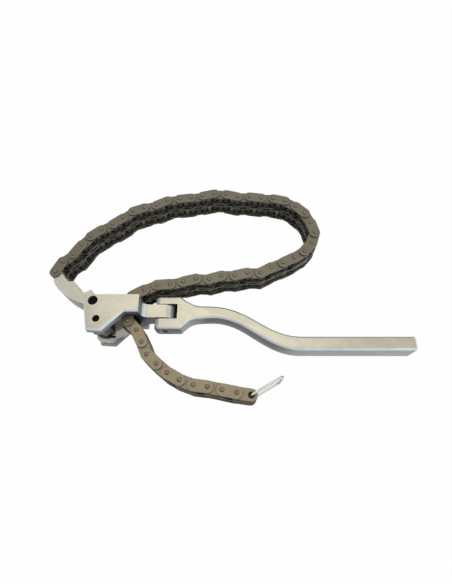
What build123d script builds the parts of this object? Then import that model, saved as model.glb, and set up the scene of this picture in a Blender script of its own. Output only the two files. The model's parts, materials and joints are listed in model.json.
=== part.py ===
from build123d import *
import math
import os

# Chain oil filter wrench, lying on its side, in millimetres.
# The origin is in the middle of the head's flat underside, between its two pins.
# +X runs along the handle, +Y towards the chain's loop, +Z up through the head.

# Head: two cheeks, a web at their right end, and the tang that the handle swings on
HEAD_HEIGHT = 40.0
CHEEK = 6.0
MID = HEAD_HEIGHT / 2
HEAD_LEFT = -8.8
HEAD_FAR = 11.0
HEAD_RIGHT = 29.6
WEB_LEFT = 25.8
HEAD_OUTLINE = (
    (HEAD_LEFT, HEAD_FAR),
    (HEAD_RIGHT, HEAD_FAR),
    (HEAD_RIGHT, -1.2),
    (19.8, -1.2),
    (6.2, -15.0),
    (-4.2, -14.4),
    (-7.9, 2.2),
)
HEAD_CHAMFER = 1.3
# How far a cutting block reaches past what it cuts
CUT_PAST = 10.0

# Pins of the head, all recessed below the faces that they pass through
ARM_PIN = (-2.0, 6.6)
ARM_PIN_DIAMETER = 6.8
PAWL_PIN = (2.0, -6.6)
PAWL_PIN_DIAMETER = 5.0
PIN_RECESS = 2.8
RUNNING = 0.06

# Tang and handle hinge, whose axis lies along Y
TANG_HEIGHT = 14.0
TANG_NEAR = -1.0
TANG_FAR = 8.7
TANG_ROOT_FILLET = 5.0
HINGE_X = 44.6
HINGE_PIN_DIAMETER = 6.0

# Handle: fork, neck and bar
FORK_LEFT = 38.2
FORK_RIGHT = 72.0
FORK_NEAR = -9.2
FORK_FAR = 14.8
FORK_OUTLINE = (
    (FORK_LEFT, FORK_FAR),
    (56.5, FORK_FAR),
    (59.6, 12.0),
    (65.6, 8.7),
    (70.0, 7.6),
    (FORK_RIGHT, 7.5),
    (FORK_RIGHT, -1.3),
    (68.0, -1.6),
    (64.0, -3.0),
    (61.2, -4.8),
    (56.5, FORK_NEAR),
    (FORK_LEFT, FORK_NEAR),
)
FORK_HEIGHT = 14.0
FORK_CORNER = 4.0
FORK_CHAMFER = 1.0
SLOT_NEAR = -1.9
SLOT_FAR = 9.2
SLOT_END = 54.2
HINGE_PIN_RECESS = 1.6
BAR_END = 217.8
BAR_WIDTH = 9.6
BAR_HEIGHT = 17.0
BAR_CHAMFER = 1.2
BAR_Y = -20.2
BAR_START = 142.0
# Stations of the neck's centre line: x, y, direction in degrees, width, height
NECK = (
    (64.0, 3.4, -2, 10.6, 14.0),
    (76.0, 3.1, -2, 8.8, 14.4),
    (88.0, 1.9, -13, 8.2, 14.8),
    (100.0, -2.7, -28, 8.0, 15.4),
    (112.0, -10.0, -33, 8.2, 16.0),
    (124.0, -16.6, -22, 8.8, 16.6),
    (136.0, -19.9, -5, BAR_WIDTH, BAR_HEIGHT),
    (BAR_START, BAR_Y, 0, BAR_WIDTH, BAR_HEIGHT),
)

# Chain: two strands of 3/8 inch pitch
PITCH = 9.525
STRAND_OFFSET = 5.12
ROLLER_DIAMETER = 6.35
CHAIN_PIN_DIAMETER = 3.28
BUSH_BORE = 3.40
PLATE_HEIGHT = 8.26
INNER_WIDTH = 5.72
INNER_PLATE = 1.3
OUTER_PLATE = 1.0
MID_PLATE = 1.4
OUTER_PLATE_INNER_FACE = 9.45
CHAIN_PIN_HALF = 11.4
# The pin that closes the loop turns in a wider bush, at the pivot where the drive of the loop ends
LOOSE_BORE = 3.60

# Directions of the links in degrees, from the arm's end round the loop to the head
FAR_STRAND = (66, 42, 59, 53, 38, 32, 38, 41, 21, 15, 27, 9, 7, 11, 13)
NOSE = (-4, -15, 0, -8, -4, -14, -33, -45, -66, -76, -108, -130, -146, -153)
NEAR_STRAND = (-156, -151, -180, -167, -179, -163, -182, -166, -168, -176)
CHAIN_START = (-36.9, 33.5)
LOOP_END = (21.85, 14.15)
# Directions of the two links in the head and of the tail's links
SEATED = (-104, -83)
TAIL = (-45, -62, -65, -42, -39, -29, -20, -7, -11, -11, -8)

# Arm that carries the chain's first pin: its long outer side is a curve from the tongue to the hub,
# and its inner side goes back to the tongue past a rounded hollow and a small heel
ARM_OUTER_SIDE = ((-37.4, 27.4), (-34.0, 21.6), (-30.9, 18.4), (-24.2, 13.6), (-12.6, 8.4))
ARM_HUB_SIDE = ((-12.6, 8.4), (-2.0, 2.2), (1.6, 8.0), (-5.9, 16.0), (-8.7, 19.8), (-12.4, 17.2))
ARM_HOLLOW = ((-12.4, 17.2), (-16.0, 18.8), (-18.6, 21.8))
ARM_INNER_SIDE = ((-18.6, 21.8), (-22.3, 26.4), (-26.4, 26.0), (-32.0, 32.6), (-37.4, 27.4))
ARM_HEIGHT = 18.5
ARM_HUB_RADIUS = 5.8
ARM_HUB_HEIGHT = 27.6
TONGUE_WIDTH = 8.3
TONGUE_SLOT = 1.9
TONGUE_SLOT_RADIUS = 5.35

# Pawl and its spring
PAWL_LOW = CHEEK + 0.2
PAWL_HIGH = HEAD_HEIGHT - CHEEK - 0.2
SPRING_SLOT = (17.2, 23.2)
PAWL_STEP = 20.0
PAWL_HUB_RADIUS = 4.9
TOOTH_LOW = MID - STRAND_OFFSET - 2.4
TOOTH_HIGH = MID - STRAND_OFFSET + 2.3
PAWL_LOWER = (
    (-4.4, -8.4),
    (-3.3, -13.6),
    (5.6, -14.2),
    (9.2, -10.4),
    (15.6, -6.8),
    (15.6, -2.6),
    (13.4, 1.2),
    (4.6, -0.4),
    (-0.6, -1.4),
)
PAWL_LOBE = ((10.2, -9.9), (15.6, -6.8), (15.6, -2.6), (13.4, 1.2), (10.2, 0.6))
PAWL_TOOTH = ((15.0, -2.6), (18.0, -0.3), (18.0, 1.5), (15.8, 2.3), (13.2, 1.2))
PAWL_UPPER = (
    (-4.2, -8.4),
    (-3.1, -12.6),
    (5.2, -13.2),
    (9.4, -10.2),
    (9.4, -3.8),
    (5.0, -0.4),
    (-0.6, -1.4),
)
PAWL_NOTCH_CENTRE = (15.2, -4.6, 8.0)
PAWL_NOTCH_SIZE = (2.6, 2.8, 3.6)
SPRING_WIRE = 1.8
SPRING_RADIUS = 6.1
SPRING_PITCH = 1.75
SPRING_COILS = 3
SPRING_LEG = 8.4
SPRING_GAP = 0.3

# Pull ring: a wire loop through the last link's free bore
RING_WIRE = 1.7
RING_LENGTH = 24.0
RING_HALF_HEIGHT = 10.4
RING_DIRECTION = 29.5
RING_CORNER = 3.0
RING_INNER_CORNER = 1.2


def prism(points, low, high):
    """A straight-sided block with the given plan outline."""
    return extrude(Pos(0, 0, low) * make_face(Polyline(*points, close=True)), high - low)


def post(centre, diameter, low, high):
    """An upright round bar."""
    return Pos(centre[0], centre[1], (low + high) / 2) * Cylinder(diameter / 2, high - low)


def crossbar(x, z, diameter, near, far):
    """A round bar along Y."""
    return Pos(x, (near + far) / 2, z) * Rot(90, 0, 0) * Cylinder(diameter / 2, far - near)


def make_head():
    """Cheeks, web and tang."""
    block = prism(HEAD_OUTLINE, 0, HEAD_HEIGHT)
    near_edges = block.edges().filter_by(Axis.Z, reverse=True).filter_by(
        lambda e: e.center().Y < HEAD_FAR - 1 and e.center().X < HEAD_RIGHT - 1
    )
    block = chamfer(near_edges, HEAD_CHAMFER)
    gap_length = WEB_LEFT - HEAD_LEFT + CUT_PAST
    gap_width = 2 * (HEAD_FAR + 2 * CUT_PAST)
    gap = Box(gap_length, gap_width, HEAD_HEIGHT - 2 * CHEEK)
    block -= Pos(WEB_LEFT - gap_length / 2, 0, MID) * gap
    with BuildSketch(Plane.XZ) as side:
        with BuildLine():
            top = MID + TANG_HEIGHT / 2
            low = MID - TANG_HEIGHT / 2
            root = HEAD_RIGHT + TANG_ROOT_FILLET
            Line((HEAD_RIGHT - 2, top + TANG_ROOT_FILLET), (HEAD_RIGHT, top + TANG_ROOT_FILLET))
            RadiusArc((HEAD_RIGHT, top + TANG_ROOT_FILLET), (root, top), -TANG_ROOT_FILLET)
            Line((root, top), (HINGE_X, top))
            RadiusArc((HINGE_X, top), (HINGE_X, low), TANG_HEIGHT / 2)
            Line((HINGE_X, low), (root, low))
            RadiusArc((root, low), (HEAD_RIGHT, low - TANG_ROOT_FILLET), -TANG_ROOT_FILLET)
            Line((HEAD_RIGHT, low - TANG_ROOT_FILLET), (HEAD_RIGHT - 2, low - TANG_ROOT_FILLET))
            Line((HEAD_RIGHT - 2, low - TANG_ROOT_FILLET), (HEAD_RIGHT - 2, top + TANG_ROOT_FILLET))
        make_face()
    tang = Pos(0, TANG_FAR, 0) * extrude(side.sketch, TANG_FAR - TANG_NEAR)
    block += tang
    block -= post(ARM_PIN, ARM_PIN_DIAMETER, -1, HEAD_HEIGHT + 1)
    block -= post(PAWL_PIN, PAWL_PIN_DIAMETER, -1, HEAD_HEIGHT + 1)
    block -= crossbar(HINGE_X, MID, HINGE_PIN_DIAMETER, TANG_NEAR - 1, TANG_FAR + 1)
    return block


def make_head_pins():
    """Arm pin, pawl pin and handle hinge pin."""
    arm_pin = post(ARM_PIN, ARM_PIN_DIAMETER, PIN_RECESS, HEAD_HEIGHT - PIN_RECESS)
    pawl_pin = post(PAWL_PIN, PAWL_PIN_DIAMETER, PIN_RECESS, HEAD_HEIGHT - PIN_RECESS)
    hinge_pin = crossbar(
        HINGE_X, MID, HINGE_PIN_DIAMETER, FORK_NEAR + HINGE_PIN_RECESS, FORK_FAR - HINGE_PIN_RECESS
    )
    return Compound(children=[arm_pin, pawl_pin, hinge_pin])


def bar_section(x, y, direction, width, height):
    """The handle's cross-section at one station: a rectangle with chamfered corners."""
    plane = Plane(
        origin=(x, y, MID),
        x_dir=(-math.sin(math.radians(direction)), math.cos(math.radians(direction)), 0),
        z_dir=(math.cos(math.radians(direction)), math.sin(math.radians(direction)), 0),
    )
    outline = Rectangle(width, height)
    outline = chamfer(outline.vertices(), BAR_CHAMFER)
    return plane * outline


def make_handle():
    """Fork, neck and bar."""
    fork = prism(FORK_OUTLINE, MID - FORK_HEIGHT / 2, MID + FORK_HEIGHT / 2)
    end_corners = fork.edges().filter_by(Axis.Y).filter_by(lambda e: abs(e.center().X - FORK_LEFT) < 0.1)
    fork = fillet(end_corners, FORK_CORNER)
    long_edges = fork.edges().filter_by(
        lambda e: abs(abs(e.center().Z - MID) - FORK_HEIGHT / 2) < 0.01
        and FORK_LEFT + FORK_CHAMFER < e.center().X < FORK_RIGHT - FORK_CHAMFER / 2
        and (e.center().Y > SLOT_FAR - 2 or e.center().Y < SLOT_NEAR + 2)
        and e.length > 1.5
    )
    fork = chamfer(long_edges, FORK_CHAMFER)
    slot_length = SLOT_END - FORK_LEFT + CUT_PAST
    slot = Box(slot_length, SLOT_FAR - SLOT_NEAR, FORK_HEIGHT + CUT_PAST)
    fork -= Pos(SLOT_END - slot_length / 2, (SLOT_NEAR + SLOT_FAR) / 2, MID) * slot
    sections = [bar_section(*station) for station in NECK]
    neck = loft(sections)
    bar = extrude(bar_section(BAR_START, BAR_Y, 0, BAR_WIDTH, BAR_HEIGHT), BAR_END - BAR_START)
    end_edges = bar.edges().filter_by(lambda e: abs(e.center().X - BAR_END) < 0.01)
    bar = chamfer(end_edges, BAR_CHAMFER)
    handle = fork + neck + bar
    handle -= crossbar(HINGE_X, MID, HINGE_PIN_DIAMETER + 2 * RUNNING, FORK_NEAR - 1, FORK_FAR + 1)
    return handle


def make_arm():
    """Curved arm with its hub, and the slotted tongue for the chain's first pin."""
    with BuildSketch() as plan:
        with BuildLine():
            Spline(*ARM_OUTER_SIDE)
            Polyline(*ARM_HUB_SIDE)
            ThreePointArc(*ARM_HOLLOW)
            Polyline(*ARM_INNER_SIDE)
        make_face()
    low = MID - ARM_HEIGHT / 2
    high = MID + ARM_HEIGHT / 2
    arm = extrude(Pos(0, 0, low) * plan.sketch, ARM_HEIGHT)
    arm += post(CHAIN_START, TONGUE_WIDTH, low, high)
    arm += Pos(ARM_PIN[0], ARM_PIN[1], MID) * Cylinder(ARM_HUB_RADIUS, ARM_HUB_HEIGHT)
    arm -= post(ARM_PIN, ARM_PIN_DIAMETER + 2 * RUNNING, 0, HEAD_HEIGHT)
    arm -= post(CHAIN_START, BUSH_BORE, 0, HEAD_HEIGHT)
    arm -= Pos(CHAIN_START[0], CHAIN_START[1], MID) * Cylinder(TONGUE_SLOT_RADIUS, TONGUE_SLOT)
    return arm


def make_pawl():
    """Lower jaw with its tooth, hub inside the spring, and upper block."""
    pawl = prism(PAWL_LOWER, PAWL_LOW, SPRING_SLOT[0])
    pawl += prism(PAWL_LOBE, SPRING_SLOT[0], PAWL_STEP)
    pawl += prism(PAWL_TOOTH, TOOTH_LOW, TOOTH_HIGH)
    pawl += post(PAWL_PIN, 2 * PAWL_HUB_RADIUS, PAWL_LOW, PAWL_HIGH)
    pawl += prism(PAWL_UPPER, SPRING_SLOT[1], PAWL_HIGH)
    pawl -= post(PAWL_PIN, PAWL_PIN_DIAMETER + 2 * RUNNING, 0, HEAD_HEIGHT)
    pawl -= Pos(*PAWL_NOTCH_CENTRE) * Box(*PAWL_NOTCH_SIZE)
    return pawl


def make_spring():
    """Torsion spring: coils round the pawl's hub, and the straight leg that bears on the pawl."""
    low = SPRING_SLOT[0] + SPRING_GAP + SPRING_WIRE / 2
    spring = Pos(SPRING_RADIUS, 0, low) * Rot(-90, 0, 0) * extrude(Circle(SPRING_WIRE / 2), SPRING_LEG)
    for turn in range(SPRING_COILS):
        spring += Pos(0, 0, low + turn * SPRING_PITCH) * Torus(SPRING_RADIUS, SPRING_WIRE / 2)
    return Pos(PAWL_PIN[0], PAWL_PIN[1], 0) * Rot(0, 0, -90) * spring


def link_plate(low, high):
    """A flat link plate with round ends, from the pin at the origin to the next pin."""
    return extrude(Pos(PITCH / 2, 0, low) * SlotCenterToCenter(PITCH, PLATE_HEIGHT), high - low)


def make_outer_link():
    """Two outer plates and a middle plate on two riveted pins."""
    face = OUTER_PLATE_INNER_FACE
    link = link_plate(MID + face, MID + face + OUTER_PLATE)
    link += link_plate(MID - face - OUTER_PLATE, MID - face)
    link += link_plate(MID - MID_PLATE / 2, MID + MID_PLATE / 2)
    for x in (0, PITCH):
        link += post((x, 0), CHAIN_PIN_DIAMETER, MID - CHAIN_PIN_HALF, MID + CHAIN_PIN_HALF)
    return link


def make_inner_link(first_bore=BUSH_BORE):
    """Two strands, each with two plates and two rollers on open bushes."""
    strands = []
    for middle in (MID - STRAND_OFFSET, MID + STRAND_OFFSET):
        half = INNER_WIDTH / 2
        strand = link_plate(middle - half - INNER_PLATE, middle - half)
        strand += link_plate(middle + half, middle + half + INNER_PLATE)
        for x, bore in ((0, first_bore), (PITCH, BUSH_BORE)):
            strand += post((x, 0), ROLLER_DIAMETER, middle - half, middle + half)
            strand -= post((x, 0), bore, MID - HEAD_HEIGHT, MID + HEAD_HEIGHT)
        strands.append(strand)
    return strands


def step_from(point, direction):
    """The next pin's place."""
    turn = math.radians(direction)
    return point[0] + PITCH * math.cos(turn), point[1] + PITCH * math.sin(turn)


def closing_directions(start, end):
    """Directions of the last two links, which meet the pin in the head."""
    span = math.hypot(end[0] - start[0], end[1] - start[1])
    line = math.degrees(math.atan2(end[1] - start[1], end[0] - start[0]))
    lift = math.degrees(math.acos(span / 2 / PITCH))
    return line - lift, line + lift


def pin_places(start, directions):
    """Places of all the pins from a start, one pitch apart."""
    places = [start]
    for direction in directions:
        places.append(step_from(places[-1], direction))
    return places


def place_link(solids, pin, direction):
    """A link's solids moved from the origin to its own pin and direction."""
    return [Pos(pin[0], pin[1], 0) * Rot(0, 0, direction) * solid for solid in solids]


def make_ring(pin):
    """Wire loop whose inner side stands in the last link's bore."""
    half = RING_HALF_HEIGHT
    corners = ((0, 0, half), (RING_LENGTH, 0, half), (RING_LENGTH, 0, -half), (0, 0, -half))
    radii = (RING_INNER_CORNER, RING_CORNER, RING_CORNER, RING_INNER_CORNER)
    path = FilletPolyline(*corners, radius=radii, close=True)
    wire = sweep((path ^ 0) * Circle(RING_WIRE / 2), path=path)
    return Pos(pin[0], pin[1], MID) * Rot(0, 0, RING_DIRECTION) * wire


def build():
    """All nodes by name."""
    outer = make_outer_link()
    inner = make_inner_link()
    loose_inner = make_inner_link(LOOSE_BORE)
    loop = list(FAR_STRAND + NOSE + NEAR_STRAND)
    loop_pins = pin_places(CHAIN_START, loop)
    loop += closing_directions(loop_pins[-1], LOOP_END)
    loop_pins = pin_places(CHAIN_START, loop)
    seated_pins = pin_places(LOOP_END, SEATED)
    tail_pins = pin_places(seated_pins[-1], TAIL)
    nodes = {
        "head_body": make_head(),
        "head_pins": make_head_pins(),
        "handle": make_handle(),
        "chain_arm": make_arm(),
        "pawl": make_pawl(),
        "pawl_spring": make_spring(),
        "pull_ring": make_ring(tail_pins[-1]),
    }
    seated = place_link(loose_inner, seated_pins[0], SEATED[0])
    seated += place_link([outer], seated_pins[1], SEATED[1])
    nodes["seated_links"] = Compound(children=seated)
    for number, (pin, direction) in enumerate(zip(loop_pins, loop), start=1):
        solids = [outer] if number % 2 else inner
        nodes[f"loop_link_{number:02d}"] = Compound(children=place_link(solids, pin, direction))
    for number, (pin, direction) in enumerate(zip(tail_pins, TAIL), start=1):
        solids = inner if number % 2 else [outer]
        nodes[f"tail_link_{number:02d}"] = Compound(children=place_link(solids, pin, direction))
    return nodes


os.makedirs("parts", exist_ok=True)
for name, shape in build().items():
    export_step(shape, f"parts/{name}.step")
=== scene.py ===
import json
import logging
import math
from dataclasses import dataclass
from enum import Enum, IntEnum
from typing import Any, Callable, Mapping, Sequence

import bmesh
import bpy
from mathutils import Matrix, Vector


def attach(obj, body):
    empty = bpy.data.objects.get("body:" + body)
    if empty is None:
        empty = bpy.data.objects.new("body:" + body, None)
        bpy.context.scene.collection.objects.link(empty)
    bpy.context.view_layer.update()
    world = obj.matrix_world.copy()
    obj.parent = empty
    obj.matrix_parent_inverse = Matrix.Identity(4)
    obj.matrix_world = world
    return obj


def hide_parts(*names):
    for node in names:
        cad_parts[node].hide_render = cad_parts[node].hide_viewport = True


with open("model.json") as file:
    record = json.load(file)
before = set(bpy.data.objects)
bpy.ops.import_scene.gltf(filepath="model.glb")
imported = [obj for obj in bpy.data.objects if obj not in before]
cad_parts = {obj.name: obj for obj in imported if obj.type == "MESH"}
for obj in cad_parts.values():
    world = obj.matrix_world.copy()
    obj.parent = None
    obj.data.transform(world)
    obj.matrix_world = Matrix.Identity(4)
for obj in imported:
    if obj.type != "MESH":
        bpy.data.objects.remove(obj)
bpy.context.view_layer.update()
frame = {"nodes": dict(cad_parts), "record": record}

LOG = logging.getLogger("chain_wrench")
# Sizes are in millimetres and angles in degrees where nothing else is said
MM = 0.001
# Vertices this close are one
SAME_PLACE = 0.002 * MM
WHITE = (1.0, 1.0, 1.0, 1.0)
Colour = tuple[float, float, float, float]
Point2 = tuple[float, float]
Point3 = tuple[float, float, float]


def colour(red: float, green: float, blue: float) -> Colour:
    """A colour from its three display values, 0 to 255.

    Args:
        red: red display value.
        green: green display value.
        blue: blue display value.

    Returns:
        The same colour in linear light, with full opacity.
    """
    def linear(value: float) -> float:
        """One display value in linear light."""
        share = value / 255
        return share / 12.92 if share <= 0.04045 else ((share + 0.055) / 1.055) ** 2.4

    return linear(red), linear(green), linear(blue), 1.0


class Value:
    """A number socket that takes part in arithmetic, which adds the Math nodes."""

    def __init__(self, graph: "Graph", socket: bpy.types.NodeSocket) -> None:
        """Wraps a socket of a graph."""
        self.graph = graph
        self.socket = socket

    def math(self, operation: str, *others: Any) -> "Value":
        """One Math node with this value first.

        Args:
            operation: the node's operation.
            *others: the values of its other sockets.

        Returns:
            The node's result.
        """
        return self.graph.math(operation, self, *others)

    def __add__(self, other: Any) -> "Value":
        """Sum."""
        return self.math("ADD", other)

    def __radd__(self, other: Any) -> "Value":
        """Sum, with the number first."""
        return self.graph.math("ADD", other, self)

    def __sub__(self, other: Any) -> "Value":
        """Difference."""
        return self.math("SUBTRACT", other)

    def __rsub__(self, other: Any) -> "Value":
        """Difference, with the number first."""
        return self.graph.math("SUBTRACT", other, self)

    def __mul__(self, other: Any) -> "Value":
        """Product."""
        return self.math("MULTIPLY", other)

    def __rmul__(self, other: Any) -> "Value":
        """Product, with the number first."""
        return self.graph.math("MULTIPLY", other, self)

    def __truediv__(self, other: Any) -> "Value":
        """Quotient."""
        return self.math("DIVIDE", other)

    def __lt__(self, other: Any) -> "Value":
        """One where this is less than the other."""
        return self.math("LESS_THAN", other)

    def __gt__(self, other: Any) -> "Value":
        """One where this is more than the other."""
        return self.math("GREATER_THAN", other)

    def __abs__(self) -> "Value":
        """Size without sign."""
        return self.math("ABSOLUTE")

    def __neg__(self) -> "Value":
        """Opposite sign."""
        return self.math("MULTIPLY", -1.0)

    def clamped(self) -> "Value":
        """This value, kept between zero and one."""
        return self.math("MAXIMUM", 0.0).math("MINIMUM", 1.0)


class Graph:
    """A node tree under construction, for a material, the world or geometry."""

    def __init__(self, tree: bpy.types.NodeTree) -> None:
        """Wraps a node tree."""
        self.tree = tree

    def node(
        self,
        kind: str,
        settings: Mapping[str, Any] | None = None,
        inputs: Mapping[int | str, Any] | None = None,
    ) -> bpy.types.Node:
        """Adds a node, sets it and feeds its sockets.

        Args:
            kind: the node's type.
            settings: the node's own settings; "stops" are a ramp's places and colours.
            inputs: values or links by socket name or number.

        Returns:
            The new node.
        """
        node = self.tree.nodes.new(kind)
        for name, setting in (settings or {}).items():
            if name == "stops":
                self._set_stops(node.color_ramp, setting)
            else:
                setattr(node, name, setting)
        for key, value in (inputs or {}).items():
            self.feed(node.inputs[key], value)
        return node

    @staticmethod
    def _set_stops(ramp: bpy.types.ColorRamp, stops: Sequence[tuple[float, Colour]]) -> None:
        """Gives a colour ramp its stops.

        Args:
            ramp: the ramp.
            stops: place and colour of each stop.
        """
        while len(ramp.elements) < len(stops):
            ramp.elements.new(1.0)
        for element, (place, shade) in zip(ramp.elements, stops):
            element.position = place
            element.color = shade

    def feed(self, socket: bpy.types.NodeSocket, value: Any) -> None:
        """Links a value to a socket, or sets a number or colour on it.

        Args:
            socket: the socket.
            value: a value, another socket, a number or a colour.
        """
        if isinstance(value, Value):
            value = value.socket
        if isinstance(value, bpy.types.NodeSocket):
            self.tree.links.new(value, socket)
        else:
            socket.default_value = value

    def math(self, operation: str, *values: Any) -> Value:
        """One Math node.

        Args:
            operation: the node's operation.
            *values: its sockets' values, in order.

        Returns:
            The node's result.
        """
        node = self.node("ShaderNodeMath", {"operation": operation}, dict(enumerate(values)))
        return Value(self, node.outputs[0])

    def split(self, vector: bpy.types.NodeSocket) -> tuple[Value, Value, Value]:
        """The three numbers of a vector."""
        parts = self.node("ShaderNodeSeparateXYZ", {}, {0: vector})
        x, y, z = (Value(self, output) for output in parts.outputs)
        return x, y, z

    def vector(self, x: Any, y: Any, z: Any) -> bpy.types.NodeSocket:
        """A vector of three numbers."""
        return self.node("ShaderNodeCombineXYZ", {}, {0: x, 1: y, 2: z}).outputs[0]


class Surface(Enum):
    """What a finish is made of, which sets how its grain looks."""

    PLATED = "plated"
    OILED = "oiled"
    WIRE = "wire"


# Grain of each surface: how strongly it stands out, and how much it changes the roughness
GRAINS = {Surface.PLATED: (0.2, 0.12), Surface.OILED: (0.08, 0.2), Surface.WIRE: (0.0, 0.02)}
# Steepness is 0 on an upright face and 1 on a level one
UPRIGHT = 0.05
SLOPE_START = 0.45
SLOPE_END = 0.78
LEVEL = 0.96
# Steepness at which a band of painted shade has faded out, and round which the painted shade on a
# far edge is darkest
BAND_FADE = 0.4
EDGE_MIDDLE = 0.6
EDGE_FALL = 3.5
FAR_RISE = 3.0


@dataclass(frozen=True)
class ShadeBand:
    """A stretch of a part whose upright faces take a painted shade of their own.

    Fields: the axis it lies along (0, 1 or 2), its two ends in millimetres, its tone and how
    soft its ends are.
    """

    axis: int
    start: float
    end: float
    tone: Colour
    blur: float = 1.0


@dataclass(frozen=True)
class Finish:
    """A metal finish: a tone in soft patches, a fine grain and its gloss.

    Where side and slope are given, faces that stand upright take the side tone and sloping
    ones the slope tone: painted shade on the upright faces and painted light on the slopes, by
    which way each face points.
    """

    name: str
    tone: Colour
    metallic: float
    roughness: float
    # The next four fields paint light and shade: shade on upright faces, light on sloping ones,
    # shade on far sloping edges and shade along stretches of a part
    side: Colour | None = None
    slope: Colour | None = None
    far_edge_shade: Colour | None = None
    shade_bands: tuple[ShadeBand, ...] = ()
    specular: float = 0.5
    surface: Surface = Surface.PLATED
    patch_shade: float = 0.9
    patch_scale: float = 140.0
    patch_start: float = 0.35
    patch_rise: float = 3.0
    patch_detail: float = 3.0
    grain_scale: float = 2600.0
    grain_depth: float = 0.02
    grain_detail: float = 2.0

    def make(self) -> bpy.types.Material:
        """Builds the material.

        Returns:
            The material, with its nodes.
        """
        material = bpy.data.materials.new(self.name)
        material.use_nodes = True
        material.node_tree.nodes.clear()
        graph = Graph(material.node_tree)
        place = graph.node("ShaderNodeTexCoord")
        patches = self._noise(graph, place, self.patch_scale, self.patch_detail)
        grain = self._noise(graph, place, self.grain_scale, self.grain_detail)
        stand_out, gloss_change = GRAINS[self.surface]
        shade = self.patch_shade
        amount = (patches - self.patch_start) * self.patch_rise
        tones = graph.node(
            "ShaderNodeMix",
            {"data_type": "RGBA", "blend_type": "MULTIPLY", "clamp_factor": True},
            {0: amount, 6: self._tone(graph, place), 7: (shade, shade, shade, 1.0)},
        ).outputs[2]
        bump = graph.node(
            "ShaderNodeBump",
            {},
            {"Strength": stand_out, "Distance": self.grain_depth * MM, "Height": grain},
        )
        shader = graph.node(
            "ShaderNodeBsdfPrincipled",
            {},
            {
                "Base Color": tones,
                "Metallic": self.metallic,
                "Roughness": self.roughness + (grain - 0.5) * gloss_change,
                "Specular IOR Level": self.specular,
                "Normal": bump.outputs["Normal"],
            },
        )
        graph.node("ShaderNodeOutputMaterial", {}, {"Surface": shader.outputs["BSDF"]})
        return material

    def _tone(self, graph: Graph, place: bpy.types.Node) -> Any:
        """The tone before its patches, with painted shade and light by how steep the face stands
        where that matters.

        Args:
            graph: the material's tree.
            place: its Texture Coordinate node.

        Returns:
            A colour, or the socket that gives one.
        """
        if self.side is None or self.slope is None:
            return self.tone
        _, away, upright = graph.split(place.outputs["Normal"])
        steepness = abs(upright)
        # Painted shade on upright faces, painted light on slopes, the plain tone on level faces
        stops = [
            (UPRIGHT, self.side),
            (SLOPE_START, self.slope),
            (SLOPE_END, self.slope),
            (LEVEL, self.tone),
        ]
        tone = graph.node("ShaderNodeValToRGB", {"stops": stops}, {0: steepness}).outputs[0]
        standing = (1.0 - steepness / BAND_FADE).clamped()
        places = graph.split(place.outputs["Object"])
        # Painted shade along each band's stretch of upright faces
        for band in self.shade_bands:
            along, blur = places[band.axis], band.blur * MM
            rise = ((along - band.start * MM) / blur).clamped()
            fall = ((band.end * MM - along) / blur).clamped()
            tone = self._mixed(graph, rise * fall * standing, tone, band.tone)
        # Painted shade on sloping faces that face +Y
        if self.far_edge_shade is not None:
            sloping = (1.0 - abs(steepness - EDGE_MIDDLE) * EDGE_FALL).clamped()
            amount = (away * FAR_RISE).clamped() * sloping
            tone = self._mixed(graph, amount, tone, self.far_edge_shade)
        return tone

    @staticmethod
    def _mixed(graph: Graph, amount: Value, tone: Any, other: Colour) -> bpy.types.NodeSocket:
        """A tone with another mixed in.

        Args:
            graph: the material's tree.
            amount: how much of the other, from 0 to 1.
            tone: the tone.
            other: the other tone.

        Returns:
            The mixed tone.
        """
        return graph.node(
            "ShaderNodeMix",
            {"data_type": "RGBA", "blend_type": "MIX", "clamp_factor": True},
            {0: amount, 6: tone, 7: other},
        ).outputs[2]

    @staticmethod
    def _noise(graph: Graph, place: bpy.types.Node, scale: float, detail: float) -> Value:
        """A noise pattern on object coordinates.

        Args:
            graph: the material's tree.
            place: its Texture Coordinate node.
            scale: how fine the pattern is.
            detail: how many layers it has.

        Returns:
            The pattern, from 0 to 1.
        """
        noise = graph.node(
            "ShaderNodeTexNoise",
            {},
            {"Vector": place.outputs["Object"], "Scale": scale, "Detail": detail},
        )
        return Value(graph, noise.outputs[0])


CREAM = colour(207, 201, 180)
# Painted highlight on bevels, fillets and other sloping faces
EDGE_HIGHLIGHT = colour(240, 245, 248)
HEAD_STEEL = Finish(
    "head_steel",
    tone=CREAM,
    metallic=0.3,
    roughness=0.4,
    # Painted shade on upright faces
    side=colour(130, 138, 146),
    slope=EDGE_HIGHLIGHT,
    # Painted shade on the upright faces between the cheeks
    shade_bands=(ShadeBand(2, 6.4, 33.6, colour(24, 25, 28)),),
)
HANDLE_STEEL = Finish(
    "handle_steel",
    tone=CREAM,
    metallic=0.3,
    roughness=0.38,
    # Painted shade on upright faces
    side=colour(172, 178, 178),
    slope=EDGE_HIGHLIGHT,
    # Painted shade on the far sloping edges, those facing +Y
    far_edge_shade=colour(60, 64, 62),
    # Painted shade on the upright faces of the fork as far as its shoulder, and of the neck
    shade_bands=(
        ShadeBand(0, 30.0, 57.5, colour(58, 60, 61)),
        ShadeBand(0, 62.0, 136.0, colour(54, 55, 53), blur=14.0),
    ),
)
ARM_STEEL = Finish(
    "arm_steel",
    tone=colour(206, 203, 188),
    metallic=0.3,
    roughness=0.4,
    # Painted shade on upright faces, with slopes a little darker than the top
    side=colour(158, 158, 150),
    slope=colour(202, 202, 194),
)
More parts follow.
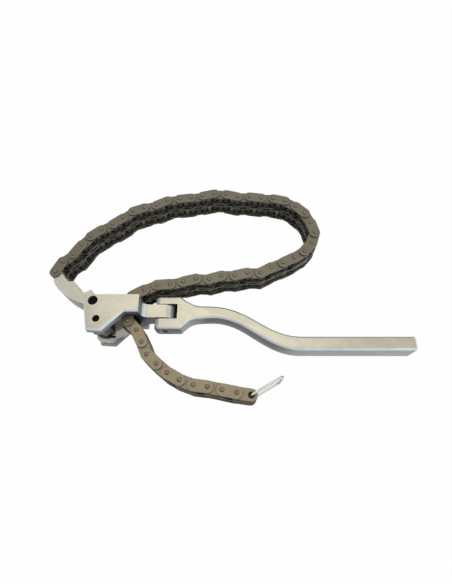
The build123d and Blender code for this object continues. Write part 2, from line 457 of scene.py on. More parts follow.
PAWL_STEEL = Finish(
    "pawl_steel",
    # All three tones are lighter than the head's steel: painted light on the pawl, which sits in
    # shade between the cheeks; the side tone is painted shade on upright faces
    tone=colour(238, 234, 220),
    metallic=0.3,
    roughness=0.4,
    side=colour(222, 218, 206),
    slope=EDGE_HIGHLIGHT,
    # Painted shade on the hub's upright faces above the spring
    shade_bands=(ShadeBand(2, 23.0, 34.0, colour(24, 24, 25)),),
)


def oiled(name: str, tone: Colour, metallic: float, roughness: float, specular: float) -> Finish:
    """An oiled finish of the chain or the pins."""
    return Finish(name, tone, metallic, roughness, specular=specular, surface=Surface.OILED)


PIN = oiled("dark_pin", colour(20, 19, 19), 0.2, 0.6, 0.1)
# The same plates as the tail's, in a darker tone
LOOP_PLATE = oiled("loop_plate", colour(110, 104, 85), 0.25, 0.45, 0.5)
TAIL_PLATE = oiled("tail_plate", colour(146, 131, 104), 0.25, 0.45, 0.5)
# Upward chamfered rims take a tone of their own by which way they face: painted light, lighter than
# the loop's plates and darker than the tail's
PLATE_RIM = oiled("plate_rim", colour(116, 110, 92), 0.3, 0.42, 0.5)
# Painted shade on the upright sides of the plates
PLATE_SIDE_SHADE = oiled("plate_side", colour(44, 43, 41), 0.2, 0.5, 0.3)
# The middle plate between the strands, in a dark grey as painted shade
MIDDLE_PLATE_SHADE = oiled("middle_plate", colour(58, 58, 58), 0.3, 0.45, 0.5)
ROLLER = oiled("chain_roller", colour(17, 17, 17), 0.2, 0.42, 0.3)
RIVET = oiled("chain_rivet", colour(116, 107, 86), 0.3, 0.42, 0.5)
SPRING_BLACK = Finish("black_spring", colour(14, 14, 15), 0.1, 0.35, specular=0.3)
WIRE = Finish("bright_wire", colour(190, 190, 184), 0.8, 0.3, surface=Surface.WIRE)


class FinishShelf:
    """Makes each material once."""

    def __init__(self) -> None:
        """Starts with nothing made."""
        self._made: dict[str, bpy.types.Material] = {}

    def get(self, finish: Finish) -> bpy.types.Material:
        """The material of a finish, made at its first use."""
        if finish.name not in self._made:
            self._made[finish.name] = finish.make()
        return self._made[finish.name]


Look = tuple[bpy.types.Material, Value | None]
WIRE_SIDES = 12


class ShapeGraph(Graph):
    """A geometry tree with named inputs, and the turned and flat shapes of the chain."""

    def __init__(self, name: str, sizes: Mapping[str, float]) -> None:
        """Starts a tree.

        Args:
            name: the tree's name.
            sizes: its number inputs and their defaults.
        """
        tree = bpy.data.node_groups.new(name, "GeometryNodeTree")
        tree.interface.new_socket("Geometry", in_out="INPUT", socket_type="NodeSocketGeometry")
        tree.interface.new_socket("Geometry", in_out="OUTPUT", socket_type="NodeSocketGeometry")
        for label, size in sizes.items():
            socket = tree.interface.new_socket(label, in_out="INPUT", socket_type="NodeSocketFloat")
            socket.default_value = size
        super().__init__(tree)
        self.entry = tree.nodes.new("NodeGroupInput")
        self.exit = tree.nodes.new("NodeGroupOutput")

    def size(self, label: str) -> Value:
        """A named input."""
        return Value(self, self.entry.outputs[label])

    def pick(self, number: Value, choices: Sequence[Any]) -> Value:
        """The choice with that number.

        Args:
            number: which choice, from 0.
            choices: numbers or values.

        Returns:
            The chosen value.
        """
        node = self.tree.nodes.new("GeometryNodeIndexSwitch")
        node.data_type = "FLOAT"
        while len(node.index_switch_items) < len(choices):
            node.index_switch_items.new()
        self.feed(node.inputs["Index"], number)
        for place, choice in enumerate(choices):
            self.feed(node.inputs[place + 1], choice)
        return Value(self, node.outputs[0])

    def turned(
        self,
        rings: Sequence[tuple[Any, Any]],
        sides: int,
        plan: Callable[[Value, Value, Any], tuple[Value, Value]] | None = None,
    ) -> bpy.types.NodeSocket:
        """A surface through rings of given radius and height.

        Args:
            rings: radius and height of each ring, upwards on the outside.
            sides: vertices in each ring.
            plan: the ring's outline from the unit circle and the radius, a circle if not given.

        Returns:
            The mesh.
        """
        last = len(rings) - 1
        mesh = self.node(
            "GeometryNodeMeshCylinder",
            {"fill_type": "NONE"},
            {"Vertices": sides, "Side Segments": last, "Radius": 1.0, "Depth": 1.0},
        ).outputs["Mesh"]
        x, y, z = self.split(self.node("GeometryNodeInputPosition").outputs[0])
        # The cylinder stands from -0.5 to 0.5, and this rounds to the number of its ring
        number = ((z + 0.5) * float(last) + 0.5).math("FLOOR")
        radius = self.pick(number, [ring[0] for ring in rings])
        height = self.pick(number, [ring[1] for ring in rings])
        edge_x, edge_y = plan(x, y, radius) if plan else (x * radius, y * radius)
        return self.node(
            "GeometryNodeSetPosition",
            {},
            {"Geometry": mesh, "Position": self.vector(edge_x, edge_y, height)},
        ).outputs[0]

    def placed(self, mesh: Any, shift: Any, rotation: Any) -> bpy.types.NodeSocket:
        """A mesh or curve turned and moved.

        Args:
            mesh: the mesh or curve.
            shift: how far it moves, a vector.
            rotation: its turns about the three axes, a vector.

        Returns:
            The same geometry in its new place.
        """
        return self.node(
            "GeometryNodeTransform",
            {},
            {"Geometry": mesh, "Translation": shift, "Rotation": rotation},
        ).outputs[0]

    def moved(self, mesh: Any, x: Any = 0.0, y: Any = 0.0, z: Any = 0.0) -> bpy.types.NodeSocket:
        """A mesh or curve moved."""
        return self.placed(mesh, self.vector(x, y, z), (0.0, 0.0, 0.0))

    def joined(self, meshes: Sequence[Any]) -> bpy.types.NodeSocket:
        """Several meshes or curves as one.

        Args:
            meshes: the meshes or curves.

        Returns:
            All of them together.
        """
        node = self.tree.nodes.new("GeometryNodeJoinGeometry")
        for mesh in meshes:
            self.tree.links.new(mesh, node.inputs[0])
        return node.outputs[0]

    def closed(self, mesh: Any) -> bpy.types.NodeSocket:
        """A mesh whose touching edges are joined."""
        return self.node(
            "GeometryNodeMergeByDistance", {}, {"Geometry": mesh, "Distance": SAME_PLACE}
        ).outputs[0]

    def flipped(self, mesh: Any) -> bpy.types.NodeSocket:
        """A mesh turned inside out."""
        return self.node("GeometryNodeFlipFaces", {}, {"Mesh": mesh}).outputs[0]

    def marked(self, mesh: Any, part: int) -> bpy.types.NodeSocket:
        """A mesh whose faces carry the number of their part.

        Args:
            mesh: the mesh.
            part: the number.

        Returns:
            The same mesh with its attribute "part".
        """
        return self.node(
            "GeometryNodeStoreNamedAttribute",
            {"data_type": "INT", "domain": "FACE"},
            {"Geometry": mesh, "Name": "part", "Value": part},
        ).outputs[0]

    def outline(self, sides: int, place: bpy.types.NodeSocket) -> bpy.types.NodeSocket:
        """A closed curve through a circle's vertices, moved to their places.

        Args:
            sides: how many vertices the circle has.
            place: each vertex's place.

        Returns:
            The curve.
        """
        ring = self.node(
            "GeometryNodeMeshCircle", {"fill_type": "NONE"}, {"Vertices": sides, "Radius": 1.0}
        ).outputs[0]
        ring = self.node(
            "GeometryNodeSetPosition", {}, {"Geometry": ring, "Position": place}
        ).outputs[0]
        return self.node("GeometryNodeMeshToCurve", {}, {"Mesh": ring}).outputs[0]

    def wire(self, curve: Any) -> bpy.types.NodeSocket:
        """Round wire along a curve, with closed ends. Its radius is the input "Wire radius".

        Args:
            curve: the wire's middle line.

        Returns:
            The mesh.
        """
        profile = self.node(
            "GeometryNodeCurvePrimitiveCircle",
            {},
            {"Resolution": WIRE_SIDES, "Radius": self.size("Wire radius")},
        ).outputs[0]
        return self.node(
            "GeometryNodeCurveToMesh",
            {},
            {"Curve": curve, "Profile Curve": profile, "Fill Caps": True},
        ).outputs[0]

    def finish_with(self, mesh: Any, looks: Sequence[Look]) -> None:
        """Ends the tree: instances made real, then the materials.

        Args:
            mesh: the geometry.
            looks: each material with the faces that it is set on, all if not given.
        """
        mesh = self.node("GeometryNodeRealizeInstances", {}, {"Geometry": mesh}).outputs[0]
        for material, faces in looks:
            inputs = {"Geometry": mesh, "Material": material}
            if faces is not None:
                inputs["Selection"] = faces
            mesh = self.node("GeometryNodeSetMaterial", {}, inputs).outputs[0]
        self.tree.links.new(mesh, self.exit.inputs[0])


def run_tree(
    name: str, host: bpy.types.Mesh, graph: ShapeGraph, sizes: Mapping[str, float]
) -> bpy.types.Object:
    """Runs a geometry tree on a host mesh and keeps the result as a plain mesh.

    Args:
        name: the piece's name.
        host: the mesh that the tree starts from.
        graph: the tree.
        sizes: values of the tree's inputs.

    Returns:
        The piece, with no modifier.
    """
    carrier = new_piece(name + "_carrier", host)
    modifier = carrier.modifiers.new("shape", "NODES")
    modifier.node_group = graph.tree
    labels = {s.name: s.identifier for s in graph.tree.interface.items_tree if s.in_out == "INPUT"}
    for label, size in sizes.items():
        modifier[labels[label]] = size
    mesh = made_plain(carrier)
    smooth_by_angle(mesh)
    return new_piece(name, mesh)


def made_plain(carrier: bpy.types.Object) -> bpy.types.Mesh:
    """The mesh that an object's modifiers make.

    Args:
        carrier: the object, which is removed.

    Returns:
        A plain mesh.
    """
    bpy.context.view_layer.update()
    evaluated = carrier.evaluated_get(bpy.context.evaluated_depsgraph_get())
    mesh = bpy.data.meshes.new_from_object(evaluated)
    bpy.data.objects.remove(carrier)
    return mesh


def joint_place(name: str) -> Vector:
    """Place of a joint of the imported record, in metres.

    Args:
        name: the joint's name.

    Returns:
        The point that it turns about.
    """
    joints = frame["record"]["behaviour"]["joints"]
    return next(Vector(joint["pos_m"]) for joint in joints if joint["name"] == name)


def smooth_by_angle(mesh: bpy.types.Mesh, degrees: float = 32.0) -> None:
    """Shades a mesh smooth, with edges sharper than an angle kept."""
    mesh.shade_smooth()
    mesh.set_sharp_from_angle(angle=math.radians(degrees))


def new_piece(name: str, mesh: bpy.types.Mesh) -> bpy.types.Object:
    """A mesh as an object at the origin.

    Args:
        name: the name of the object and the mesh.
        mesh: the mesh.

    Returns:
        The object.
    """
    mesh.name = name
    piece = bpy.data.objects.new(name, mesh)
    bpy.context.scene.collection.objects.link(piece)
    return piece


def keep(piece: bpy.types.Object, body: str, nodes: Sequence[str]) -> None:
    """Makes a finished piece ride on its body, in place of its nodes if it has any.

    Args:
        piece: the finished piece.
        body: the body that it moves with.
        nodes: the nodes that it stands for.
    """
    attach(piece, body)
    if nodes:
        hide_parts(*nodes)
    LOG.info("%s rides on %s: %d faces", piece.name, body, len(piece.data.polygons))


class LinkKind(Enum):
    """The two kinds of link, which take turns along the chain."""

    OUTER = "outer"
    INNER = "inner"


# A link's two pins, in pitches from its middle
BOTH_PINS = (-0.5, 0.5)
# A face belongs to a part where its number is this close to the part's
NUMBER_SLACK = 0.1


class Part(IntEnum):
    """The number that a link's faces carry, by what they belong to."""

    PLATE = 0
    MIDDLE = 1
    TURNED = 2


@dataclass(frozen=True)
class Link:
    """One link: its node, kind, first pin and direction."""

    node: str
    kind: LinkKind
    pin: Point2
    direction: float


@dataclass
class Chain:
    """Double-strand roller chain: loop, the links in the head and the tail."""

    shelf: FinishShelf
    pitch: float = 9.525
    plate_height: float = 8.26
    plate_rim: float = 0.22
    plate_sides: int = 40
    end_share: float = 0.625
    outer_plate: float = 1.0
    outer_face: float = 9.45
    middle_plate: float = 1.4
    inner_plate: float = 1.3
    inner_width: float = 5.72
    strand_offset: float = 5.12
    pin_radius: float = 1.5
    rivet_radius: float = 1.5
    rivet_hole: float = 1.62
    pin_half: float = 11.38
    pin_sink: float = 0.25
    # Share of the rivet's radius, and height above the plate
    rivet_side: tuple[Point2, ...] = ((1.0, 0.05), (0.97, 0.4))
    # Share of the rivet's radius, and depth below the pin's end
    rivet_dome: tuple[Point2, ...] = ((0.72, 0.14), (0.36, 0.02), (0.0, 0.0))
    roller_radius: float = 3.15
    roller_round: float = 0.3
    roller_gap: float = 0.06
    bush_bore: float = 1.7
    bush_radius: float = 2.35
    sides: int = 20
    middle_height: float = 20.0
    # A face is flat, or an upper rim, where its normal points this far up
    flat_from: float = 0.95
    rim_from: float = 0.3
    start: Point2 = (-36.9, 33.5)
    loop_end: Point2 = (21.85, 14.15)
    far_strand: tuple[int, ...] = (66, 42, 59, 53, 38, 32, 38, 41, 21, 15, 27, 9, 7, 11, 13)
    nose: tuple[int, ...] = (-4, -15, 0, -8, -4, -14, -33, -45, -66, -76, -108, -130, -146, -153)
    near_strand: tuple[int, ...] = (-156, -151, -180, -167, -179, -163, -182, -166, -168, -176)
    seated: tuple[int, ...] = (-104, -83)
    tail: tuple[int, ...] = (-45, -62, -65, -42, -39, -29, -20, -7, -11, -11, -8)

    def pins(self, start: Point2, directions: Sequence[float]) -> list[Point2]:
        """Places of the pins from a start, one pitch apart.

        Args:
            start: place of the first pin.
            directions: direction of each link, in degrees.

        Returns:
            The places, one more than there are links.
        """
        places = [start]
        for direction in directions:
            turn = math.radians(direction)
            x, y = places[-1]
            places.append((x + self.pitch * math.cos(turn), y + self.pitch * math.sin(turn)))
        return places

    def links(self) -> list[Link]:
        """All links in order from the arm to the pull ring.

        Returns:
            The links of the loop, the two in the head and those of the tail.
        """
        directions: list[float] = [*self.far_strand, *self.nose, *self.near_strand]
        reached = self.pins(self.start, directions)[-1]
        dx, dy = self.loop_end[0] - reached[0], self.loop_end[1] - reached[1]
        line = math.degrees(math.atan2(dy, dx))
        lift = math.degrees(math.acos(math.hypot(dx, dy) / 2 / self.pitch))
        directions += [line - lift, line + lift]
        found = self._named("loop_link_{:02d}", self.start, directions, LinkKind.OUTER)
        held = self._named("seated_links", self.loop_end, self.seated, LinkKind.INNER)
        free = self.pins(self.loop_end, self.seated)[-1]
        return found + held + self._named("tail_link_{:02d}", free, self.tail, LinkKind.INNER)

    def _named(
        self, pattern: str, start: Point2, directions: Sequence[float], first: LinkKind
    ) -> list[Link]:
        """A row of links whose kinds take turns.

        Args:
            pattern: the nodes' names, with a place for the number.
            start: place of the first pin.
            directions: direction of each link, in degrees.
            first: kind of the first link.

        Returns:
            The links in order.
        """
        kinds = (first, LinkKind.INNER if first is LinkKind.OUTER else LinkKind.OUTER)
        places = self.pins(start, directions)
        return [
            Link(pattern.format(number + 1), kinds[number % 2], places[number], direction)
            for number, direction in enumerate(directions)
        ]

    def _sizes(self) -> dict[str, float]:
        """The sizes that both trees take.

        Returns:
            Each size in metres, by the name of its input.
        """
        return {
            "Pitch": self.pitch * MM,
            "Plate radius": self.plate_height / 2 * MM,
            "Rim": self.plate_rim * MM,
        }

    def _outline(self, graph: ShapeGraph) -> Callable[[Value, Value, Any], tuple[Value, Value]]:
        """The plan of a link plate: round ends and straight long sides.

        Args:
            graph: the tree that the plan is used in.

        Returns:
            A function from a point of the unit circle and a radius to the plate's edge.
        """
        share = self.end_share

        def plan(x: Value, y: Value, radius: Any) -> tuple[Value, Value]:
            """A point of the plate's edge.

            Args:
                    x: the circle's own, along the link.
                y: the circle's own, across the link.
                radius: radius of the round ends.

            Returns:
                Its place on the edge.
            """
            size = abs(x)
            side = (size / share).math("MINIMUM", 1.0)
            end = ((size - share) / (1 - share)).math("MAXIMUM", 0.0)
            reach = side * graph.size("Pitch") / 2 + end * radius
            half = (1 - end * end).math("MAXIMUM", 0.0).math("SQRT")
            return x.math("SIGN") * reach, y.math("SIGN") * half * radius

        return plan

    def _plate(
        self, graph: ShapeGraph, low: float, thickness: float, hole: float, part: Part
    ) -> bpy.types.NodeSocket:
        """A link plate with chamfered edges and two holes, as a closed shell.

        Args:
            graph: the tree.
            low: height of the plate's lower face from the middle, in mm.
            thickness: the plate's thickness, in mm.
            hole: radius of its holes, in mm.
            part: the number that its faces carry.

        Returns:
            The mesh.
        """
        plan = self._outline(graph)
        radius, rim = graph.size("Plate radius"), graph.size("Rim")
        deep = thickness * MM
        edge = graph.turned(
            [(radius - rim, 0.0), (radius, rim), (radius, deep - rim), (radius - rim, deep)],
            self.plate_sides,
            plan,
        )
        x, y, _ = graph.split(graph.node("GeometryNodeInputPosition").outputs[0])
        edge_x, edge_y = plan(x, y, radius - rim)
        outlines = [graph.outline(self.plate_sides, graph.vector(edge_x, edge_y, 0.0))]
        walls = []
        for side in BOTH_PINS:
            centre = graph.size("Pitch") * side
            place = graph.vector(x * (hole * MM) + centre, y * (hole * MM), 0.0)
            outlines.append(graph.outline(self.sides, place))
            wall = graph.turned([(hole * MM, deep), (hole * MM, 0.0)], self.sides)
            walls.append(graph.moved(wall, centre))
        face = graph.node("GeometryNodeFillCurve", {}, {"Curve": graph.joined(outlines)}).outputs[0]
        faces = [graph.moved(face, z=deep), graph.flipped(face)]
        shell = graph.closed(graph.joined([edge, *walls, *faces]))
        return graph.moved(graph.marked(shell, part), z=low * MM)

    def _pin(self, graph: ShapeGraph, part: Part) -> bpy.types.NodeSocket:
        """A pin with a low riveted dome at each end.

        Args:
            graph: the tree.
            part: the number that its faces carry.

        Returns:
            The mesh, at the origin.
        """
        face = self.outer_face + self.outer_plate
        wide, end = self.rivet_radius, self.pin_half
        upper = [
            (self.pin_radius, face - self.pin_sink),
            *((wide * share, face + height) for share, height in self.rivet_side),
            *((wide * share, end - depth) for share, depth in self.rivet_dome),
        ]
        profile = [(radius, -height) for radius, height in reversed(upper)] + upper
        rings = [(radius * MM, height * MM) for radius, height in profile]
        return graph.marked(graph.closed(graph.turned(rings, self.sides)), part)

    def _roller(self, graph: ShapeGraph, middle: float, part: Part) -> bpy.types.NodeSocket:
        """A roller on its open bush, as one closed ring.

        Args:
            graph: the tree.
            middle: height of its strand from the middle, in mm.
            part: the number that its faces carry.

        Returns:
            The mesh, at the origin.
        """
        half = self.inner_width / 2 - self.roller_gap
        end = self.inner_width / 2 + self.inner_plate
        edge = self.roller_round
        profile = [
            (self.bush_bore, -end),
            (self.bush_radius, -end),
            (self.bush_radius, -half),
            (self.roller_radius - edge, -half),
            (self.roller_radius, -half + edge),
            (self.roller_radius, half - edge),
            (self.roller_radius - edge, half),
            (self.bush_radius, half),
            (self.bush_radius, end),
            (self.bush_bore, end),
            (self.bush_bore, -end),
        ]
        rings = [(radius * MM, (height + middle) * MM) for radius, height in profile]
        return graph.marked(graph.closed(graph.turned(rings, self.sides)), part)

    def _place_links(self, graph: ShapeGraph, link: Any) -> bpy.types.NodeSocket:
        """The link on every point of the host, turned to the point's own direction.

        Args:
            graph: the tree.
            link: the mesh of one link.

        Returns:
            An instance for each link.
        """
        rotation = graph.vector(0.0, 0.0, self._read(graph, "turn", "FLOAT"))
        return graph.node(
            "GeometryNodeInstanceOnPoints",
            {},
            {"Points": graph.entry.outputs["Geometry"], "Instance": link, "Rotation": rotation},
        ).outputs[0]

    @staticmethod
    def _read(graph: ShapeGraph, name: str, kind: str) -> Value:
        """The value of a named attribute.

        Args:
            graph: the tree.
            name: the attribute's name.
            kind: its data type.

        Returns:
            Its value.
        """
        attribute = graph.node(
            "GeometryNodeInputNamedAttribute", {"data_type": kind}, {"Name": name}
        )
        return Value(graph, attribute.outputs[0])

    def _looks(
        self, graph: ShapeGraph, faces: Finish, parts: Mapping[Part, Finish]
    ) -> list[Look]:
        """Materials of a link: plate faces, painted shade on sides and a painted rim tone on
        chamfered rims, then each numbered part.

        Args:
            graph: the tree.
            faces: the plates' finish.
            parts: the finish of each other part.

        Returns:
            Each material with the faces that it is set on.
        """
        number = self._read(graph, "part", "INT")
        _, _, upright = graph.split(graph.node("GeometryNodeInputNormal").outputs[0])
        sideways = abs(upright) < self.flat_from
        looks: list[Look] = [
            (self.shelf.get(faces), None),
            # Painted shade on the plates' upright sides
            (self.shelf.get(PLATE_SIDE_SHADE), sideways),
        ]
        for part, finish in parts.items():
            same = graph.math("COMPARE", number, float(part), NUMBER_SLACK)
            looks.append((self.shelf.get(finish), same))
        of_plate = number < Part.MIDDLE + 0.5
        # Painted rim tone on the upward chamfers
        looks.append((self.shelf.get(PLATE_RIM), (upright > self.rim_from) * sideways * of_plate))
        return looks

    def outer_tree(self, faces: Finish) -> ShapeGraph:
        """The tree of the outer links: two plates, a middle plate and two riveted pins.

        Args:
            faces: the plates' finish.

        Returns:
            The finished tree.
        """
        graph = ShapeGraph("outer_links", self._sizes())
        face = self.outer_face
        plates = [
            self._plate(graph, low, self.outer_plate, self.rivet_hole, Part.PLATE)
            for low in (face, -face - self.outer_plate)
        ]
        low = -self.middle_plate / 2
        plates.append(self._plate(graph, low, self.middle_plate, self.pin_radius, Part.MIDDLE))
        pin = self._pin(graph, Part.TURNED)
        pins = [graph.moved(pin, graph.size("Pitch") * side) for side in BOTH_PINS]
        link = graph.joined(plates + pins)
        # The middle plate takes a dark grey as painted shade between the strands
        looks = self._looks(graph, faces, {Part.MIDDLE: MIDDLE_PLATE_SHADE, Part.TURNED: RIVET})
        graph.finish_with(self._place_links(graph, link), looks)
        return graph

    def inner_tree(self, faces: Finish) -> ShapeGraph:
        """The tree of the inner links: two strands of two plates and two rollers.

        Args:
            faces: the plates' finish.

        Returns:
            The finished tree.
        """
        graph = ShapeGraph("inner_links", self._sizes())
        parts = []
        half = self.inner_width / 2
        for middle in (-self.strand_offset, self.strand_offset):
            for low in (middle - half - self.inner_plate, middle + half):
                plate = self._plate(graph, low, self.inner_plate, self.bush_radius, Part.PLATE)
                parts.append(plate)
            roller = self._roller(graph, middle, Part.TURNED)
            parts += [graph.moved(roller, graph.size("Pitch") * side) for side in BOTH_PINS]
        looks = self._looks(graph, faces, {Part.TURNED: ROLLER})
        graph.finish_with(self._place_links(graph, graph.joined(parts)), looks)
        return graph

    def _host(self, links: Sequence[Link]) -> bpy.types.Mesh:
        """A mesh with one vertex in the middle of each link, which carries its direction.

        Args:
            links: the links.

        Returns:
            The mesh, with its attribute "turn".
        """
        host = bpy.data.meshes.new("link_places")
        places = []
        for link in links:
            turn = math.radians(link.direction)
            x = link.pin[0] + self.pitch / 2 * math.cos(turn)
            y = link.pin[1] + self.pitch / 2 * math.sin(turn)
            places.append((x * MM, y * MM, self.middle_height * MM))
        host.from_pydata(places, [], [])
        turns = host.attributes.new("turn", "FLOAT", "POINT")
        turns.data.foreach_set("value", [math.radians(link.direction) for link in links])
        return host

    def build(self) -> None:
        """Makes the links of each body as one piece of each kind."""
        trees = {
            (kind, faces): make(faces)
            for kind, make in ((LinkKind.OUTER, self.outer_tree), (LinkKind.INNER, self.inner_tree))
            for faces in (LOOP_PLATE, TAIL_PLATE)
        }
        links = self.links()
        for body, members in frame["record"]["behaviour"]["bodies"].items():
            # Every body but the tail takes the darker loop tone; for the links seated in the head
            # it is painted shade under the head
            faces = TAIL_PLATE if body.startswith("tail") else LOOP_PLATE
            for kind in LinkKind:
                mine = [link for link in links if link.node in members and link.kind is kind]
                if not mine:
                    continue
                graph = trees[kind, faces]
                name = f"{kind.value}_links_{body}"
                piece = run_tree(name, self._host(mine), graph, self._sizes())
                for attribute in ("part", "turn"):
                    found = piece.data.attributes.get(attribute)
                    if found is not None:
                        piece.data.attributes.remove(found)
                keep(piece, body, sorted({link.node for link in mine}))


@dataclass
class Forging:
    """A forged or machined piece: its node's own shape with bevelled edges, which take the painted
    light of its finish's slopes.
    """

    shelf: FinishShelf
    node: str
    body: str
    name: str
    finish: Finish
    edge_width: float = 0.28
    edge_angle: float = 25.0
    segments: int = 2
    merge_within: float = 0.001
    flat_within: float = 0.6
    smooth_below: float = 21.0

    def build(self) -> None:
        """Makes the piece from its node's shape."""
        mesh = frame["nodes"][self.node].data.copy()
        work = bmesh.new()
        work.from_mesh(mesh)
        bmesh.ops.remove_doubles(work, verts=work.verts, dist=self.merge_within * MM)
        flat = math.radians(self.flat_within)
        bmesh.ops.dissolve_limit(work, angle_limit=flat, verts=work.verts, edges=work.edges)
        work.to_mesh(mesh)
        work.free()
        mesh.materials.clear()
        mesh.materials.append(self.shelf.get(self.finish))
        carrier = new_piece(self.name + "_carrier", mesh)
        # Bevels whose sloping faces take the finish's painted highlight
        bevel = carrier.modifiers.new("rounded_edges", "BEVEL")
        bevel.width = self.edge_width * MM
        bevel.segments = self.segments
        bevel.limit_method = "ANGLE"
        bevel.angle_limit = math.radians(self.edge_angle)
        bevel.use_clamp_overlap = True
        made = made_plain(carrier)
        smooth_by_angle(made, self.smooth_below)
        keep(new_piece(self.name, made), self.body, [self.node])


@dataclass
class SlotRoot:
    """Root of the fork's slot, which keeps clear of the tang through the whole swing, black as
    painted shade deep in the slot.
    """

    shelf: FinishShelf
    near: float = -1.9
    far: float = 9.2
    outline: tuple[Point2, ...] = ((54.2, 21.0), (51.8, 20.8), (51.75, 13.2), (54.2, 13.2))

    def build(self) -> None:
        """Makes the root between the fork's two sides."""
        count = len(self.outline)
        corners = [(x * MM, y * MM, z * MM) for y in (self.near, self.far) for x, z in self.outline]
        sides = [(i, (i + 1) % count, count + (i + 1) % count, count + i) for i in range(count)]
        ends = [tuple(range(count)), tuple(range(count, 2 * count))]
        mesh = bpy.data.meshes.new("slot_root")
        mesh.from_pydata(corners, [], sides + ends)
        work = bmesh.new()
        work.from_mesh(mesh)
        bmesh.ops.recalc_face_normals(work, faces=work.faces)
        work.to_mesh(mesh)
        work.free()
        # The black pin finish is painted shade deep in the slot
        mesh.materials.append(self.shelf.get(PIN))
        keep(new_piece("slot_root", mesh), "handle", [])


@dataclass
class PawlSpring:
    """Black torsion spring round the pawl's hub, with one straight leg."""

    shelf: FinishShelf
    low: float = 18.4
    coil_radius: float = 6.1
    wire_radius: float = 0.88
    turns: float = 3.0
    steps_per_turn: int = 28
    rise: float = 3.5
    leg: float = 8.3

    def build(self) -> None:
        """Makes the spring along a spiral and a line."""
        sizes = {
            "Coil radius": self.coil_radius * MM,
            "Wire radius": self.wire_radius * MM,
            "Turns": self.turns,
            "Rise": self.rise * MM,
            "Leg": self.leg * MM,
        }
        graph = ShapeGraph("pawl_spring", sizes)
        radius = graph.size("Coil radius")
        spiral = graph.node(
            "GeometryNodeCurveSpiral",
            {},
            {
                "Resolution": self.steps_per_turn,
                "Rotations": graph.size("Turns"),
                "Start Radius": radius,
                "End Radius": radius,
                "Height": graph.size("Rise"),
                "Reverse": True,
            },
        ).outputs[0]
        coil = graph.placed(spiral, (0.0, 0.0, 0.0), (0.0, 0.0, -math.pi / 2))
        ends = {
            "Start": graph.vector(0.0, -radius, 0.0),
            "End": graph.vector(graph.size("Leg"), -radius, 0.0),
        }
        leg = graph.node("GeometryNodeCurvePrimitiveLine", {}, ends).outputs[0]
        wire = graph.wire(graph.joined([coil, leg]))
        x, y, _ = joint_place("pawl_pivot")
        spring = graph.moved(wire, x, y, self.low * MM)
        graph.finish_with(spring, [(self.shelf.get(SPRING_BLACK), None)])
        piece = run_tree("wound_spring", bpy.data.meshes.new("spring_place"), graph, sizes)
        keep(piece, "pawl", ["pawl_spring"])


@dataclass
class PullRing:
    """Bright wire loop through the free bore at the tail's end."""

    shelf: FinishShelf
    length: float = 24.0
    height: float = 20.8
    wire_radius: float = 0.84
    direction: float = 29.5
    bore_corner: float = 1.2
    outer_corner: float = 3.0
    corner_steps: int = 8

    def build(self) -> None:
        """Makes the ring: a rounded rectangle of wire that stands on its long side."""
        sizes = {
            "Length": self.length * MM,
            "Height": self.height * MM,
            "Wire radius": self.wire_radius * MM,
            "Bore corner": self.bore_corner * MM,
            "Outer corner": self.outer_corner * MM,
        }
        graph = ShapeGraph("pull_ring", sizes)
        outline = graph.node(
            "GeometryNodeCurvePrimitiveQuadrilateral",
            {"mode": "RECTANGLE"},
            {"Width": graph.size("Length"), "Height": graph.size("Height")},
        ).outputs[0]
        x, _, _ = graph.split(graph.node("GeometryNodeInputPosition").outputs[0])
        outer = x > 0.0
        corner = outer * graph.size("Outer corner") + (1 - outer) * graph.size("Bore corner")
        rounded = graph.node(
            "GeometryNodeFilletCurve",
            {"mode": "POLY"},
            {"Curve": outline, "Count": self.corner_steps, "Radius": corner},
        ).outputs[0]
        half = graph.vector(graph.size("Length") / 2, 0.0, 0.0)
        upright = graph.placed(rounded, half, (math.pi / 2, 0.0, 0.0))
        turn = (0.0, 0.0, math.radians(self.direction))
        ring = graph.placed(graph.wire(upright), joint_place("ring_hinge"), turn)
        graph.finish_with(ring, [(self.shelf.get(WIRE), None)])
        piece = run_tree("wire_ring", bpy.data.meshes.new("ring_place"), graph, sizes)
        keep(piece, "ring", ["pull_ring"])


def dress_node(node: str, finish: Finish, shelf: FinishShelf) -> None:
    """Gives a node that stays as it is a better material.

    Args:
        node: the node.
        finish: its finish.
        shelf: where the materials are.
    """
    data = frame["nodes"][node].data
    data.materials.clear()
    data.materials.append(shelf.get(finish))
    LOG.info("%s keeps its own shape", node)


@dataclass(frozen=True)
class Lamp:
    """A soft square lamp: its name, place and side in metres, power in watts and tint."""

    name: str
    place: Point3
    side: float
    power: float
    tint: Colour

    def hang(self, target: Point3) -> None:
        """Hangs the lamp so that it faces a point.

        Args:
            target: the point, in metres.
        """
        data = bpy.data.lights.new(self.name, "AREA")
        data.shape = "SQUARE"
        data.size = self.side
        data.energy = self.power
        data.color = self.tint[:3]
        lamp = bpy.data.objects.new(self.name, data)
        turn = (Vector(target) - Vector(self.place)).to_track_quat("-Z", "Y")
        lamp.matrix_world = Matrix.Translation(self.place) @ turn.to_matrix().to_4x4()
        bpy.context.scene.collection.objects.link(lamp)


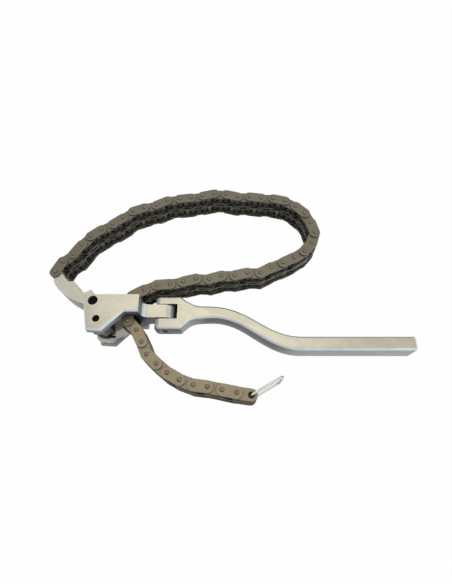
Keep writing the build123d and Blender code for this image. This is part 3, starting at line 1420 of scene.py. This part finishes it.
@dataclass
class Studio:
    """Pale floor, soft light from above and from the right, and the photograph's camera.

    The floor, the lamps, what they are aimed at and the camera's range are in metres.
    """

    camera_place: Point3 = (92.42, -95.06, 277.93)
    look_down: float = 65.66
    heading: float = -1.889
    roll: float = -1.814
    focal_pixels: float = 381.53
    image_height: float = 584.0
    sensor: float = 36.0
    near: float = 0.005
    far: float = 20.0
    floor_side: float = 4.0
    floor_drop: float = 0.0002
    lit_point: Point3 = (0.08, 0.02, 0.02)
    lamps: tuple[Lamp, ...] = (
        Lamp("overhead", (0.05, 0.3, 0.9), 0.7, 3.35, colour(255, 252, 246)),
        Lamp("right_side", (0.85, -0.3, 0.3), 0.45, 2.6, colour(240, 247, 255)),
    )
    world_fill: float = 0.2
    floor_shade: float = 0.3
    floor_glow: float = 0.99

    def camera(self) -> None:
        """Places the camera."""
        data = bpy.data.cameras.new("photo_camera")
        data.sensor_width = self.sensor
        data.sensor_fit = "AUTO"
        data.lens = self.focal_pixels / self.image_height * self.sensor
        data.clip_start = self.near
        data.clip_end = self.far
        down, yaw, roll = (math.radians(a) for a in (self.look_down, self.heading, self.roll))
        forward = Vector(
            (math.cos(down) * math.sin(yaw), math.cos(down) * math.cos(yaw), -math.sin(down))
        )
        flat = Vector((math.cos(yaw), -math.sin(yaw), 0.0))
        rise = flat.cross(forward)
        right = flat * math.cos(roll) + rise * math.sin(roll)
        up = rise * math.cos(roll) - flat * math.sin(roll)
        camera = bpy.data.objects.new("photo_camera", data)
        turn = Matrix((right, up, -forward)).transposed().to_4x4()
        camera.matrix_world = Matrix.Translation(Vector(self.camera_place) * MM) @ turn
        bpy.context.scene.collection.objects.link(camera)
        bpy.context.scene.camera = camera

    @staticmethod
    def _seen_ray(graph: Graph) -> Value:
        """One for the rays that show the background: camera, glossy and transmission.

        Args:
            graph: the tree of the world or a material.

        Returns:
            One for such a ray and zero for any other.
        """
        path = graph.node("ShaderNodeLightPath")
        seen = Value(graph, path.outputs["Is Camera Ray"])
        for name in ("Is Glossy Ray", "Is Transmission Ray"):
            seen = seen.math("MAXIMUM", path.outputs[name])
        return seen

    def world(self) -> None:
        """White behind the object, and a weaker even light on it."""
        world = bpy.data.worlds.new("studio")
        bpy.context.scene.world = world
        world.use_nodes = True
        world.node_tree.nodes.clear()
        graph = Graph(world.node_tree)
        seen = self._seen_ray(graph)
        even, white = (
            graph.node("ShaderNodeBackground", {}, {"Color": WHITE, "Strength": strength})
            for strength in (self.world_fill, 1.0)
        )
        mix = graph.node(
            "ShaderNodeMixShader", {}, {0: seen, 1: even.outputs[0], 2: white.outputs[0]}
        )
        graph.node("ShaderNodeOutputWorld", {}, {"Surface": mix.outputs[0]})

    def floor(self) -> None:
        """A plain pale floor that keeps a faint shadow."""
        half = self.floor_side / 2
        corners = [(-half, -half, 0), (half, -half, 0), (half, half, 0), (-half, half, 0)]
        mesh = bpy.data.meshes.new("pale_floor")
        mesh.from_pydata(corners, [], [(0, 1, 2, 3)])
        floor = new_piece("pale_floor", mesh)
        floor.location = (0.0, 0.0, -self.floor_drop)
        material = bpy.data.materials.new("pale_floor")
        material.use_nodes = True
        material.node_tree.nodes.clear()
        graph = Graph(material.node_tree)
        seen = self._seen_ray(graph)
        shade = (self.floor_shade, self.floor_shade, self.floor_shade, 1.0)
        matt = graph.node("ShaderNodeBsdfDiffuse", {}, {"Color": shade})
        white = graph.node("ShaderNodeEmission", {}, {"Color": WHITE, "Strength": 1.0})
        mix = graph.node(
            "ShaderNodeMixShader",
            {},
            {0: seen * self.floor_glow, 1: matt.outputs[0], 2: white.outputs[0]},
        )
        graph.node("ShaderNodeOutputMaterial", {}, {"Surface": mix.outputs[0]})
        mesh.materials.append(material)

    def build(self) -> None:
        """Sets up the whole studio."""
        self.camera()
        for lamp in self.lamps:
            lamp.hang(self.lit_point)
        self.world()
        self.floor()
        bpy.context.scene.view_settings.view_transform = "Standard"


def main() -> None:
    """Builds every sub-assembly, then the studio."""
    logging.basicConfig(level=logging.INFO, format="%(message)s")
    shelf = FinishShelf()
    Chain(shelf).build()
    for node, body, finish in (
        ("head_body", "head", HEAD_STEEL),
        ("handle", "handle", HANDLE_STEEL),
        ("chain_arm", "arm", ARM_STEEL),
        ("pawl", "pawl", PAWL_STEEL),
    ):
        Forging(shelf, node, body, f"forged_{node}", finish).build()
    SlotRoot(shelf).build()
    PawlSpring(shelf).build()
    PullRing(shelf).build()
    dress_node("head_pins", PIN, shelf)
    Studio().build()


if __name__ == "__main__":
    main()
